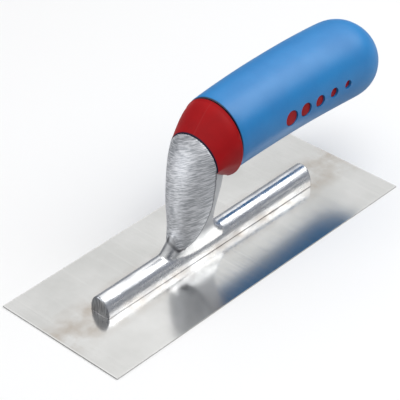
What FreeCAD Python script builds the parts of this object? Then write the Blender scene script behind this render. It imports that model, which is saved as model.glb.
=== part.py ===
"""Small finishing trowel: a flat rectangular steel blade, a cast aluminium mounting riveted along it,
and a two-colour handle held by a threaded rod that is screwed into the mounting's post.

Frame: millimetres, +Z up, origin at the middle of the blade's flat underside, +X along the blade
towards the free end of the handle. The trowel is symmetric about the plane Y = 0.
"""

import FreeCAD, Part
import math
import os
import Sketcher

Vector = FreeCAD.Vector
Placement = FreeCAD.Placement
Rotation = FreeCAD.Rotation

SIZES = {
    # blade
    "blade_length": 197.0,
    "blade_width": 76.2,
    "blade_thickness": 0.7,
    # post of the mounting
    "shoulder_x": -8.0,
    "web_core_x": -10.0,
    "web_cut_front_height": 53.6,
    "web_cut_rear_height": 42.4,
    "web_cut_reach": 25.0,
    "boss_radius": 6.0,
    "boss_end": 3.0,
    # rivets between blade and bar
    "rivet_middle_x": -1.75,
    "rivet_pitch": 25.0,
    "rivet_shank_radius": 1.6,
    "rivet_head_radius": 2.3,
    "rivet_length": 8.5,
    # rod, washer and nut that hold the handle
    "rod_height": 59.2,
    "rod_radius": 3.0,
    "rod_front": -5.5,
    "rod_rear": 110.5,
    "rod_chamfer": 0.5,
    "rod_clearance": 0.15,
    "seat_x": 103.0,
    "seat_radius": 6.2,
    "washer_radius": 6.0,
    "washer_thickness": 1.6,
    "nut_half_flats": 5.0,
    "nut_thickness": 5.0,
    # handle
    "collar_rear": 6.0,
    "axis_base_height": 61.05,
    "axis_rise": 2.05,
    "axis_crown_x": 50.0,
    "axis_reach": 47.0,
    "grip_width_ratio": 0.965,
    "skin_thickness": 2.5,
    "dome_end": 118.3,
    "plug_front": 112.6,
    "plug_radius": 6.15,
    "plug_dome_radius": 2.0,
    "slot_half_width": 8.9,
    # round windows along both sides of the grip
    "window_first_x": 39.5,
    "window_last_x": 80.0,
    "window_first_radius": 4.0,
    "window_last_radius": 2.2,
    "window_height": 62.3,
    "pad_clearance": 0.1,
    "pad_reach": 18.9,
}

WINDOW_COUNT = 5
RIVET_COUNT = 6

# Shapes that change along their length are given by stations, and every station's sizes are cells too.
STATIONS = {
    # The bar's arched section, from its front end to its rear end.
    "bar": {
        "columns": ("x", "half_width", "shoulder", "arch"),
        "rows": (
            (-72.6, 5.85, 1.4, 9.3),
            (-15.0, 5.95, 2.3, 8.9),
            (69.9, 6.0, 3.5, 8.2),
        ),
    },
    # The post's leaf-shaped front, from the bar up to the shoulder: where its two side edges are, how
    # far its front bulges ahead of them, and how far the section leans back, in degrees. The last
    # one stands upright and is the arch that the collar butts against.
    "leaf": {
        "columns": ("x", "height", "half_width", "bulge", "lean"),
        "rows": (
            (-20.0, 12.6, 6.4, 5.2, 0.0),
            (-16.2, 16.5, 8.4, 7.7, 0.0),
            (-13.0, 22.0, 10.3, 9.8, 2.0),
            (-10.6, 29.0, 12.2, 11.9, 6.0),
            (-9.0, 36.0, 13.4, 12.7, 13.0),
            (-8.2, 43.0, 14.1, 12.7, 26.0),
            (-8.0, 49.0, 14.8, 12.3, 50.0),
            (-8.0, 54.0, 15.3, 13.4, 90.0),
        ),
    },
    # The foot and web behind the leaf, from inside the bar up into the collar.
    "web": {
        "columns": ("height", "front", "rear", "half_width", "rear_round"),
        "rows": (
            (7.5, -37.5, 10.0, 5.2, 6.0),
            (12.0, -30.8, 4.6, 5.7, 4.4),
            (17.0, -25.3, 1.0, 5.9, 3.4),
            (23.0, -21.4, 1.2, 6.1, 3.0),
            (30.0, -18.0, 3.2, 6.6, 3.0),
            (38.0, -14.5, 5.2, 7.6, 3.0),
            (46.0, -13.0, 5.6, 8.5, 3.0),
            (54.0, -12.5, 5.6, 8.5, 3.0),
        ),
    },
    # The collar, from the post's arch to the grip: a wide upper and a lower half.
    "collar": {
        "columns": ("x", "height", "half_width", "rise", "drop"),
        "rows": (
            (-8.0, 54.0, 15.3, 13.4, 3.0),
            (-5.6, 55.6, 16.1, 14.4, 7.0),
            (-2.0, 57.6, 17.3, 16.3, 12.2),
            (2.0, 59.4, 18.4, 18.3, 17.0),
            (6.0, 60.4, 19.1, 19.6, 20.4),
        ),
    },
    # Half heights of the grip along its slightly bowed axis.
    "grip": {
        "columns": ("x", "half_height"),
        "rows": (
            (6.0, 19.4),
            (30.0, 20.0),
            (55.0, 20.4),
            (80.0, 20.8),
            (92.0, 20.85),
        ),
    },
    # The same over the domed rear end, as far as the plug.
    "dome": {
        "columns": ("x", "half_height"),
        "rows": (
            (92.0, 20.85),
            (97.0, 20.7),
            (101.0, 20.0),
            (105.0, 18.5),
            (109.0, 15.9),
            (112.5, 12.5),
            (114.8, 9.3),
            (116.06, 7.0),
        ),
    },
}

doc = FreeCAD.newDocument("finishing_trowel")


def make_sheet():
    cells = dict(SIZES)
    for name, table in STATIONS.items():
        for number, row in enumerate(table["rows"], start=1):
            for column, value in zip(table["columns"], row):
                cells[f"{name}_{number}_{column}"] = value
    sheet = doc.addObject("Spreadsheet::Sheet", "Sizes")
    for line, (alias, value) in enumerate(cells.items(), start=1):
        sheet.set(f"A{line}", alias)
        sheet.set(f"B{line}", str(value))
        sheet.setAlias(f"B{line}", alias)
    doc.recompute()
    return sheet


SHEET = make_sheet()


def size(alias):
    """The value of one cell of the sheet, as a plain number."""
    return float(SHEET.get(alias))


def stations(name):
    """The stations of one table as pairs: the prefix of its cells, and its values by column."""
    table = STATIONS[name]
    for number in range(1, len(table["rows"]) + 1):
        prefix = f"{name}_{number}"
        yield prefix, {column: size(f"{prefix}_{column}") for column in table["columns"]}


# ---------------------------------------------------------------- bodies, sketches and sections


def new_body(name):
    body = doc.addObject("PartDesign::Body", name)
    body.Label = name
    return body


def new_sketch(body, name, role, offset=Placement(), bound=None):
    """A sketch on one of the body's origin planes, moved by an offset in that plane's own frame.

    The bound offset coordinates are tied to the sheet, as in {"z": "Sizes.bar_1_x"}.
    """
    plane = next(item for item in body.Origin.OriginFeatures if item.Role == role)
    sketch = body.newObject("Sketcher::SketchObject", name)
    sketch.AttachmentSupport = (plane, [""])
    sketch.MapMode = "FlatFace"
    sketch.AttachmentOffset = offset
    for axis, expression in (bound or {}).items():
        sketch.setExpression(f"AttachmentOffset.Base.{axis}", expression)
    return sketch


def upright(body, name, x_alias):
    """A sketch across the trowel at one x: its own x and y are the trowel's Y and Z."""
    offset = Placement(Vector(0, 0, size(x_alias)), Rotation())
    return new_sketch(body, name, "YZ_Plane", offset, {"z": f"Sizes.{x_alias}"})


def leaning(body, name, height_alias, x_alias=None, lean=0.0):
    """A sketch whose own x is the trowel's Y and whose y points forward, or up when it leans 90."""
    x = size(x_alias) if x_alias else 0.0
    turn = Rotation(Vector(1, 0, 0), lean - 90.0)
    bound = {"y": f"Sizes.{height_alias}"}
    if x_alias:
        bound["z"] = f"Sizes.{x_alias}"
    return new_sketch(body, name, "YZ_Plane", Placement(Vector(0, size(height_alias), x), turn), bound)


def constrain(sketch, kind, *operands, tie=None):
    """Adds a constraint and ties its value to the sheet where an expression is given."""
    index = sketch.addConstraint(Sketcher.Constraint(kind, *operands))
    if tie:
        sketch.setExpression(f"Constraints[{index}]", tie)
    return index


def hold_point(sketch, geometry, point, x, y, tie_x=None, tie_y=None):
    """Holds one point of a piece of geometry at sketch coordinates."""
    vertical_axis, horizontal_axis = -2, -1
    if tie_x is None and x == 0:
        constrain(sketch, "PointOnObject", geometry, point, vertical_axis)
    else:
        constrain(sketch, "DistanceX", -1, 1, geometry, point, x, tie=tie_x)
    if tie_y is None and y == 0:
        constrain(sketch, "PointOnObject", geometry, point, horizontal_axis)
    else:
        constrain(sketch, "DistanceY", -1, 1, geometry, point, y, tie=tie_y)


def half_ellipse(sketch, middle_y, half_width, rise, tie_width, tie_rise, tie_middle=None):
    """An arc from (+half_width, 0) over (0, rise) to (-half_width, 0), from a middle on the y axis.

    A negative rise makes the lower half, whose arc starts at its left end instead.
    """
    middle = Vector(0, middle_y, 0)
    top = middle + Vector(0, abs(rise), 0)
    side = Vector(half_width, 0, 0)
    wide = half_width >= abs(rise)
    quarter = math.pi / 2
    if wide:
        ellipse = Part.Ellipse(middle + side, top, middle)
        start = 0.0 if rise > 0 else 2 * quarter
    else:
        ellipse = Part.Ellipse(top, middle - side, middle)
        start = -quarter if rise > 0 else quarter
    arc = sketch.addGeometry(Part.ArcOfEllipse(ellipse, start, start + 2 * quarter), False)
    sketch.exposeInternalGeometry(arc)
    major, minor = arc + 1, arc + 2
    across, along = (major, minor) if wide else (minor, major)
    constrain(sketch, "Horizontal", across)
    constrain(sketch, "Distance", across, 2 * half_width, tie=f"2 * ({tie_width})")
    constrain(sketch, "Distance", along, 2 * abs(rise), tie=f"2 * ({tie_rise})")
    hold_point(sketch, arc, 3, 0, middle_y, tie_y=tie_middle)
    for end in (1, 2):
        constrain(sketch, "PointOnObject", arc, end, across)
    return arc


def join(sketch, first, first_point, second, second_point):
    """A straight side between the ends of two pieces of geometry."""
    ends = [sketch.getPoint(first, first_point), sketch.getPoint(second, second_point)]
    line = sketch.addGeometry(Part.LineSegment(*ends), False)
    constrain(sketch, "Coincident", line, 1, first, first_point)
    constrain(sketch, "Coincident", line, 2, second, second_point)
    return line


def oval(sketch, half_width, rise, drop, tie_width, tie_rise, tie_drop, middle_y, tie_middle):
    """A closed section of two half ellipses that share their widest line."""
    half_ellipse(sketch, middle_y, half_width, rise, tie_width, tie_rise, tie_middle)
    half_ellipse(sketch, middle_y, half_width, -drop, tie_width, tie_drop, tie_middle)


def circle(sketch, x, y, radius, tie_x, tie_y, tie_radius):
    ring = sketch.addGeometry(Part.Circle(Vector(x, y, 0), Vector(0, 0, 1), radius), False)
    constrain(sketch, "Radius", ring, radius, tie=tie_radius)
    hold_point(sketch, ring, 3, x, y, tie_x=tie_x, tie_y=tie_y)
    return ring


def polygon(sketch, corners):
    """A closed outline whose corners are (x, y, expression of x, expression of y)."""
    points = [Vector(x, y, 0) for x, y, _, _ in corners]
    lines = [
        sketch.addGeometry(Part.LineSegment(start, end), False)
        for start, end in zip(points, points[1:] + points[:1])
    ]
    for line, following in zip(lines, lines[1:] + lines[:1]):
        constrain(sketch, "Coincident", line, 2, following, 1)
    for line, (x, y, tie_x, tie_y) in zip(lines, corners):
        hold_point(sketch, line, 1, x, y, tie_x=tie_x, tie_y=tie_y)


def loft(body, name, sections, kind="Additive", ruled=False):
    feature = body.newObject(f"PartDesign::{kind}Loft", name)
    feature.Profile = sections[0]
    feature.Sections = sections[1:]
    feature.Ruled = ruled
    doc.recompute()
    return feature


def pad(body, name, sketch, length, tie=None, midplane=False, reverse=False):
    feature = body.newObject("PartDesign::Pad", name)
    feature.Profile = sketch
    feature.Length = length
    feature.Midplane = midplane
    feature.Reversed = reverse
    if tie:
        feature.setExpression("Length", tie)
    doc.recompute()
    return feature


def pocket(body, name, sketch, depth=None, tie=None, midplane=False, reverse=False):
    """Cuts a sketch to a depth, or through everything on both sides, and checks that it cut."""
    before = body.Shape.Volume
    feature = body.newObject("PartDesign::Pocket", name)
    feature.Profile = sketch
    feature.Reversed = reverse
    feature.Midplane = midplane
    if depth is None:
        feature.Type = "ThroughAll"
    else:
        feature.Length = depth
        if tie:
            feature.setExpression("Length", tie)
    doc.recompute()
    if not body.Shape.Volume < before - 1e-3:
        raise RuntimeError(f"{name} cut nothing from {body.Label}")
    return feature


def round_edges(body, name, base, radius_alias, chosen):
    """Rounds the edges of a feature for which chosen(edge) is true."""
    names = [f"Edge{i}" for i, edge in enumerate(base.Shape.Edges, start=1) if chosen(edge)]
    feature = body.newObject("PartDesign::Fillet", name)
    feature.Base = (base, names)
    feature.Radius = size(radius_alias)
    feature.setExpression("Radius", f"Sizes.{radius_alias}")
    doc.recompute()
    return feature


def on_plane(edge, x):
    """Whether an edge lies in the plane across the trowel at x."""
    box = edge.BoundBox
    return box.XLength < 1e-4 and abs(box.XMin - x) < 1e-4


def revolve(body, name, sketch, axis="H_Axis"):
    feature = body.newObject("PartDesign::Revolution", name)
    feature.Profile = sketch
    feature.ReferenceAxis = (sketch, [axis])
    feature.Angle = 360.0
    doc.recompute()
    return feature


def rivet_positions():
    """Each rivet's x and the expression for it."""
    for number in range(RIVET_COUNT):
        steps = number - (RIVET_COUNT - 1) / 2
        x = size("rivet_middle_x") + steps * size("rivet_pitch")
        yield x, f"Sizes.rivet_middle_x + {steps} * Sizes.rivet_pitch"


# ------------------------------------------------------------------------------------- sub-parts


def make_blade():
    """The flat sheet, countersunk from below for the rivets."""
    body = new_body("blade")
    outline = new_sketch(body, "blade_outline", "XY_Plane")
    half_length, half_width = size("blade_length") / 2, size("blade_width") / 2
    polygon(outline, [
        (sx * half_length, sy * half_width, f"{sx} * Sizes.blade_length / 2", f"{sy} * Sizes.blade_width / 2")
        for sx, sy in ((-1, -1), (1, -1), (1, 1), (-1, 1))
    ])
    pad(body, "blade_sheet", outline, size("blade_thickness"), "Sizes.blade_thickness")
    marks = new_sketch(body, "blade_hole_marks", "XY_Plane")
    for x, tie in rivet_positions():
        circle(marks, x, 0, size("rivet_shank_radius"), tie, None, "Sizes.rivet_shank_radius")
    before = body.Shape.Volume
    hole = body.newObject("PartDesign::Hole", "blade_holes")
    hole.Profile = marks
    hole.Reversed = True
    hole.DepthType = "ThroughAll"
    hole.setExpression("Diameter", "2 * Sizes.rivet_shank_radius")
    hole.HoleCutType = "Countersink"
    hole.HoleCutCustomValues = True
    hole.setExpression("HoleCutDiameter", "2 * Sizes.rivet_head_radius")
    hole.HoleCutCountersinkAngle = 90.0
    doc.recompute()
    if not body.Shape.Volume < before:
        raise RuntimeError("the blade's holes cut nothing")
    return body


def make_mounting():
    """The casting: arched bar, foot and web, leaf-fronted post and the boss inside the collar."""
    body = new_body("mounting")

    sections = []
    for prefix, at in stations("bar"):
        section = upright(body, f"{prefix}_section", f"{prefix}_x")
        cell = f"Sizes.{prefix}"
        arch = half_ellipse(section, at["shoulder"], at["half_width"], at["arch"],
                            f"{cell}_half_width", f"{cell}_arch", f"{cell}_shoulder")
        base = size("blade_thickness")
        foot = [
            section.addGeometry(Part.LineSegment(section.getPoint(arch, end), Vector(x, base, 0)), False)
            for end, x in ((1, at["half_width"]), (2, -at["half_width"]))
        ]
        for side, end in zip(foot, (1, 2)):
            constrain(section, "Coincident", side, 1, arch, end)
            constrain(section, "Vertical", side)
            constrain(section, "DistanceY", -1, 1, side, 2, base, tie="Sizes.blade_thickness")
        join(section, foot[0], 2, foot[1], 2)
        sections.append(section)
    loft(body, "bar", sections, ruled=True)

    sections = []
    core_x = size("web_core_x")
    for prefix, at in stations("web"):
        section = leaning(body, f"{prefix}_section", f"{prefix}_height")
        cell = f"Sizes.{prefix}"
        front = half_ellipse(section, -core_x, at["half_width"], core_x - at["front"],
                             f"{cell}_half_width", f"Sizes.web_core_x - {cell}_front",
                             "-1 * Sizes.web_core_x")
        back = half_ellipse(section, at["rear_round"] - at["rear"], at["half_width"], -at["rear_round"],
                            f"{cell}_half_width", f"{cell}_rear_round",
                            f"{cell}_rear_round - {cell}_rear")
        join(section, front, 2, back, 1)
        join(section, back, 2, front, 1)
        sections.append(section)
    loft(body, "web", sections)

    # Above the web's sloping top only the leaf and the boss stand in the collar.
    top = new_sketch(body, "web_top_cut", "XZ_Plane")
    shoulder, collar_rear = size("shoulder_x"), size("collar_rear")
    high, low = size("web_cut_front_height"), size("web_cut_rear_height")
    reach = size("web_cut_reach")
    polygon(top, [
        (shoulder, high, "Sizes.shoulder_x", "Sizes.web_cut_front_height"),
        (collar_rear, low, "Sizes.collar_rear", "Sizes.web_cut_rear_height"),
        (collar_rear, high + reach, "Sizes.collar_rear", "Sizes.web_cut_front_height + Sizes.web_cut_reach"),
        (shoulder, high + reach, "Sizes.shoulder_x", "Sizes.web_cut_front_height + Sizes.web_cut_reach"),
    ])
    pocket(body, "web_top", top, midplane=True)

    sections = []
    for prefix, at in stations("leaf"):
        section = leaning(body, f"{prefix}_section", f"{prefix}_height", f"{prefix}_x", at["lean"])
        cell = f"Sizes.{prefix}"
        arc = half_ellipse(section, 0, at["half_width"], at["bulge"], f"{cell}_half_width", f"{cell}_bulge")
        join(section, arc, 2, arc, 1)
        sections.append(section)
    loft(body, "leaf", sections)

    disc = upright(body, "boss_outline", "shoulder_x")
    circle(disc, 0, size("rod_height"), size("boss_radius"), None, "Sizes.rod_height", "Sizes.boss_radius")
    pad(body, "boss", disc, size("boss_end") - shoulder, "Sizes.boss_end - Sizes.shoulder_x")
    bore = upright(body, "rod_bore_outline", "rod_front")
    circle(bore, 0, size("rod_height"), size("rod_radius"), None, "Sizes.rod_height", "Sizes.rod_radius")
    pocket(body, "rod_bore", bore, size("boss_end") - size("rod_front"),
           "Sizes.boss_end - Sizes.rod_front", reverse=True)

    marks = new_sketch(body, "rivet_bore_marks", "XY_Plane")
    for x, tie in rivet_positions():
        circle(marks, x, 0, size("rivet_shank_radius"), tie, None, "Sizes.rivet_shank_radius")
    pocket(body, "rivet_bores", marks, size("rivet_length"), "Sizes.rivet_length", reverse=True)
    return body


def make_rivets():
    """Countersunk rivets, flush with the underside, in one node."""
    body = new_body("mounting_rivets")
    body.AllowCompound = True
    first_x, first_tie = next(iter(rivet_positions()))
    head, shank = size("rivet_head_radius"), size("rivet_shank_radius")
    profile = new_sketch(body, "rivet_profile", "XZ_Plane", Placement(Vector(first_x, 0, 0), Rotation()),
                         {"x": first_tie})
    sheet, length = "Sizes.blade_thickness", "Sizes.rivet_length"
    polygon(profile, [
        (0, 0, None, None),
        (head, 0, "Sizes.rivet_head_radius", None),
        (shank, size("blade_thickness"), "Sizes.rivet_shank_radius", sheet),
        (shank, size("rivet_length"), "Sizes.rivet_shank_radius", length),
        (0, size("rivet_length"), None, length),
    ])
    rivet = revolve(body, "rivet", profile, "V_Axis")
    row = body.newObject("PartDesign::LinearPattern", "rivet_row")
    row.Originals = [rivet]
    row.Direction = (profile, ["H_Axis"])
    row.Length = (RIVET_COUNT - 1) * size("rivet_pitch")
    row.setExpression("Length", f"{RIVET_COUNT - 1} * Sizes.rivet_pitch")
    row.Occurrences = RIVET_COUNT
    body.Tip = row
    doc.recompute()
    return body


def make_rod():
    """The threaded rod from the casting's boss through the handle, as a plain cylinder."""
    body = new_body("tang_rod")
    disc = upright(body, "rod_outline", "rod_front")
    circle(disc, 0, size("rod_height"), size("rod_radius"), None, "Sizes.rod_height", "Sizes.rod_radius")
    shaft = pad(body, "rod_shaft", disc, size("rod_rear") - size("rod_front"),
                "Sizes.rod_rear - Sizes.rod_front")
    chamfer = body.newObject("PartDesign::Chamfer", "rod_ends")
    chamfer.Base = (shaft, [f"Edge{i}" for i, edge in enumerate(shaft.Shape.Edges, start=1)
                            if isinstance(edge.Curve, Part.Circle)])
    chamfer.Size = size("rod_chamfer")
    chamfer.setExpression("Size", "Sizes.rod_chamfer")
    doc.recompute()
    return body


def axis_height(x):
    """Height of the grip's bowed axis at x, and the expression for it."""
    bow = (x - size("axis_crown_x")) / size("axis_reach")
    return size("axis_base_height") + size("axis_rise") * (1 - bow * bow)


def axis_tie(x_alias):
    bow = f"(Sizes.{x_alias} - Sizes.axis_crown_x) / Sizes.axis_reach"
    return f"Sizes.axis_base_height + Sizes.axis_rise * (1 - ({bow}) ^ 2)"


def grip_sections(body, tag, table, inset):
    """Ovals along the grip, drawn in by an inset; the inner ones end where the plug starts."""
    sections = []
    for prefix, at in stations(table):
        half_height = at["half_height"] - inset
        if inset and at["x"] > size("plug_front"):
            break
        cell = f"Sizes.{prefix}_half_height"
        less = " - Sizes.skin_thickness" if inset else ""
        height, width = f"{cell}{less}", f"{cell} * Sizes.grip_width_ratio{less}"
        section = upright(body, f"{tag}_{prefix}_section", f"{prefix}_x")
        oval(section, at["half_height"] * size("grip_width_ratio") - inset, half_height, half_height,
             width, height, height, axis_height(at["x"]), axis_tie(f"{prefix}_x"))
        sections.append(section)
    return sections


def grip_solid(body, tag, inset, kind="Additive"):
    """The grip's length and its dome, one after the other."""
    for table in ("grip", "dome"):
        loft(body, f"{tag}_{table}", grip_sections(body, f"{tag}_{table}", table, inset), kind)


def windows(sketch, extra, tie_extra):
    """The row of round windows, largest nearest the collar."""
    first_x, last_x = size("window_first_x"), size("window_last_x")
    first_radius, last_radius = size("window_first_radius"), size("window_last_radius")
    for number in range(WINDOW_COUNT):
        share = number / (WINDOW_COUNT - 1)
        circle(sketch, first_x + share * (last_x - first_x), size("window_height"),
               first_radius + share * (last_radius - first_radius) + extra,
               f"Sizes.window_first_x + {share} * (Sizes.window_last_x - Sizes.window_first_x)",
               "Sizes.window_height",
               f"Sizes.window_first_radius + {share} * "
               f"(Sizes.window_last_radius - Sizes.window_first_radius){tie_extra}")


def make_core():
    """The hard inner moulding: the collar at the front, the core in the grip and its window pads."""
    body = new_body("handle_core")
    sections = []
    for prefix, at in stations("collar"):
        section = upright(body, f"{prefix}_section", f"{prefix}_x")
        cell = f"Sizes.{prefix}"
        oval(section, at["half_width"], at["rise"], at["drop"], f"{cell}_half_width", f"{cell}_rise",
             f"{cell}_drop", at["height"], f"{cell}_height")
        sections.append(section)
    loft(body, "collar", sections)
    rear = size("collar_rear")
    grip_solid(body, "core", size("skin_thickness"))

    pads = new_sketch(body, "pad_outlines", "XZ_Plane")
    windows(pads, 0, "")
    pad(body, "pads", pads, 2 * size("pad_reach"), "2 * Sizes.pad_reach", midplane=True)

    # The web of the casting fills a slot under the collar.
    slot = new_sketch(body, "slot_outline", "XZ_Plane")
    shoulder = size("shoulder_x")
    high, low = size("web_cut_front_height"), size("web_cut_rear_height")
    foot = low - size("web_cut_reach")
    polygon(slot, [
        (shoulder, high, "Sizes.shoulder_x", "Sizes.web_cut_front_height"),
        (shoulder, foot, "Sizes.shoulder_x", "Sizes.web_cut_rear_height - Sizes.web_cut_reach"),
        (rear, foot, "Sizes.collar_rear", "Sizes.web_cut_rear_height - Sizes.web_cut_reach"),
        (rear, low, "Sizes.collar_rear", "Sizes.web_cut_rear_height"),
    ])
    pocket(body, "slot", slot, 2 * size("slot_half_width"), "2 * Sizes.slot_half_width", midplane=True)

    for name, start, end, radius in (
        ("boss_hole", "shoulder_x", "boss_end", "boss_radius"),
        ("rod_hole", "shoulder_x", "seat_x", "rod_radius"),
        ("nut_recess", "seat_x", "dome_end", "seat_radius"),
    ):
        slack = 0.0 if name == "nut_recess" else size("rod_clearance")
        tie_slack = "" if name == "nut_recess" else " + Sizes.rod_clearance"
        outline = upright(body, f"{name}_outline", start)
        circle(outline, 0, size("rod_height"), size(radius) + slack, None, "Sizes.rod_height",
               f"Sizes.{radius}{tie_slack}")
        pocket(body, name, outline, size(end) - size(start), f"Sizes.{end} - Sizes.{start}", reverse=True)
    return body


def make_sleeve():
    """The soft outer grip, moulded over the core, with its windows and the hole for the end plug."""
    body = new_body("grip_sleeve")
    grip_solid(body, "sleeve", 0)
    grip_solid(body, "inside", size("skin_thickness"), "Subtractive")
    openings = new_sketch(body, "window_outlines", "XZ_Plane")
    windows(openings, size("pad_clearance"), " + Sizes.pad_clearance")
    pocket(body, "window_row", openings, 4 * size("pad_reach"), "4 * Sizes.pad_reach", midplane=True)
    hole = upright(body, "plug_hole_outline", "seat_x")
    circle(hole, 0, size("rod_height"), size("seat_radius"), None, "Sizes.rod_height", "Sizes.seat_radius")
    pocket(body, "plug_hole", hole, size("dome_end") - size("seat_x"), "Sizes.dome_end - Sizes.seat_x",
           reverse=True)
    return body


def make_washer():
    """The flat washer at the bottom of the recess in the core."""
    body = new_body("tang_washer")
    face = upright(body, "washer_outline", "seat_x")
    circle(face, 0, size("rod_height"), size("washer_radius"), None, "Sizes.rod_height",
           "Sizes.washer_radius")
    circle(face, 0, size("rod_height"), size("rod_radius"), None, "Sizes.rod_height", "Sizes.rod_radius")
    pad(body, "washer", face, size("washer_thickness"), "Sizes.washer_thickness")
    return body


def make_nut():
    """The hexagon nut on the rod, against the washer."""
    body = new_body("tang_nut")
    offset = Placement(Vector(0, size("rod_height"), size("seat_x") + size("washer_thickness")), Rotation())
    face = new_sketch(body, "nut_outline", "YZ_Plane", offset,
                      {"y": "Sizes.rod_height", "z": "Sizes.seat_x + Sizes.washer_thickness"})
    reach = size("nut_half_flats") / math.cos(math.radians(30))
    tie = "Sizes.nut_half_flats / cos(30 deg)"
    polygon(face, [
        (reach * math.cos(math.radians(angle)), reach * math.sin(math.radians(angle)),
         f"{tie} * cos({angle} deg)", f"{tie} * sin({angle} deg)")
        for angle in range(30, 390, 60)
    ])
    circle(face, 0, 0, size("rod_radius"), None, None, "Sizes.rod_radius")
    pad(body, "nut", face, size("nut_thickness"), "Sizes.nut_thickness")
    return body


def make_plug():
    """The domed plug that closes the rear end of the grip."""
    body = new_body("end_plug")
    face = upright(body, "plug_outline", "plug_front")
    circle(face, 0, size("rod_height"), size("plug_radius"), None, "Sizes.rod_height", "Sizes.plug_radius")
    stem = pad(body, "plug_stem", face, size("dome_end") - size("plug_front"),
               "Sizes.dome_end - Sizes.plug_front")
    end = size("dome_end")
    round_edges(body, "plug_dome", stem, "plug_dome_radius", lambda edge: on_plane(edge, end))
    return body


def write_parts(bodies):
    doc.recompute()
    failed = [item.Name for item in doc.Objects if {"Invalid", "Error"} & set(item.State)]
    if failed:
        raise RuntimeError(f"failed objects: {failed}")
    for body in bodies:
        if body.Shape.isNull() or not body.Shape.isValid():
            raise RuntimeError(f"{body.Label} has no valid shape")
    os.makedirs("parts", exist_ok=True)
    for body in bodies:
        body.Shape.exportStep(f"parts/{body.Label}.step")
        print(body.Label, len(body.Shape.Solids), round(body.Shape.Volume, 1))


write_parts([
    make_blade(),
    make_mounting(),
    make_rivets(),
    make_rod(),
    make_core(),
    make_sleeve(),
    make_washer(),
    make_nut(),
    make_plug(),
])
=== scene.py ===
import math

import bmesh
import bpy
from mathutils import Matrix, Quaternion, Vector
from mathutils.bvhtree import BVHTree
from mathutils.kdtree import KDTree


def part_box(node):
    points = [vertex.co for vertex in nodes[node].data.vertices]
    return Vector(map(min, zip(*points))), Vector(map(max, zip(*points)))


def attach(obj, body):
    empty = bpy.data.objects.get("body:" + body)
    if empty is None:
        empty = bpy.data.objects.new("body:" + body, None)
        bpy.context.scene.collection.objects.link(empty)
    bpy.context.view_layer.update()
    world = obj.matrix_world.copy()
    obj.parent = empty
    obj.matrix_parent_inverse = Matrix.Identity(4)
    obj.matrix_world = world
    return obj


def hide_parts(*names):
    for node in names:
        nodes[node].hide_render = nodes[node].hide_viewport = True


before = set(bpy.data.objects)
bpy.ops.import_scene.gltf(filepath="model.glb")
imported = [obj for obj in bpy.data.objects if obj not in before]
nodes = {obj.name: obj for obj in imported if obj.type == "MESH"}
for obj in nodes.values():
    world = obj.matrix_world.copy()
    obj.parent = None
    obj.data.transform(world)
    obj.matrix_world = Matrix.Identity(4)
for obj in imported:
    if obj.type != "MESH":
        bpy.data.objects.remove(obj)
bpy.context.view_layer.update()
scene = bpy.context.scene

# ------------------------------------------------------------------------------------------ blade
# A flat sheet of stainless spring steel, sheared square with sharp corners. Its faces are ground
# across their width to a bright satin, and its four edges are stoned, so they wear brightest.

STEEL = (0.70, 0.70, 0.69, 1)
STEEL_DULL = (0.60, 0.60, 0.585, 1)
STEEL_STAINED = (0.42, 0.36, 0.30, 1)
STEEL_EDGE = (0.82, 0.82, 0.81, 1)


def new_material(name):
    """A Principled material with its node tree and its shader."""
    material = bpy.data.materials.new(name)
    material.use_nodes = True
    return material, material.node_tree, material.node_tree.nodes["Principled BSDF"]


def add(tree, kind, inputs=None, **settings):
    """A node with its settings, and its inputs given as values or as sockets to link from."""
    node = tree.nodes.new(kind)
    for name, value in settings.items():
        setattr(node, name, value)
    for name, value in (inputs or {}).items():
        if isinstance(value, bpy.types.NodeSocket):
            tree.links.new(value, node.inputs[name])
        else:
            node.inputs[name].default_value = value
    return node


def maths(tree, operation, first, second=0.0):
    """One step of arithmetic on two values."""
    return add(tree, "ShaderNodeMath", {0: first, 1: second}, operation=operation).outputs[0]


def blend(tree, share, first, second):
    """A colour between two others."""
    node = add(tree, "ShaderNodeMix", data_type="RGBA")
    for socket, value in ((node.inputs[0], share), (node.inputs[6], first), (node.inputs[7], second)):
        if isinstance(value, bpy.types.NodeSocket):
            tree.links.new(value, socket)
        else:
            socket.default_value = value
    return node.outputs[2]


def span(tree, value, low, high, to_low=0.0, to_high=1.0):
    """A value spread from one range to another and held at its ends."""
    return add(tree, "ShaderNodeMapRange",
               {"Value": value, "From Min": low, "From Max": high, "To Min": to_low, "To Max": to_high}
               ).outputs["Result"]


def new_group(name, inputs, outputs):
    """A node group with named inputs (name, kind, default) and outputs (name, kind)."""
    group = bpy.data.node_groups.new(name, "ShaderNodeTree")
    for label, kind, value in inputs:
        socket = group.interface.new_socket(label, in_out="INPUT", socket_type=kind)
        if value is not None:
            socket.default_value = value
    for label, kind in outputs:
        group.interface.new_socket(label, in_out="OUTPUT", socket_type=kind)
    return group, group.nodes.new("NodeGroupInput"), group.nodes.new("NodeGroupOutput")


def use(tree, group, inputs):
    """A group placed in a material."""
    node = tree.nodes.new("ShaderNodeGroup")
    node.node_tree = group
    for name, value in inputs.items():
        if isinstance(value, bpy.types.NodeSocket):
            tree.links.new(value, node.inputs[name])
        else:
            node.inputs[name].default_value = value
    return node


def place_on(tree):
    """The place on the object itself, in metres."""
    return add(tree, "ShaderNodeTexCoord").outputs["Object"]


def turned(tree, vector, angles=(0, 0, 0), scale=(1, 1, 1)):
    """A vector stretched and then turned."""
    return add(tree, "ShaderNodeMapping",
               {"Vector": vector, "Rotation": angles, "Scale": scale}).outputs[0]


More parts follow.
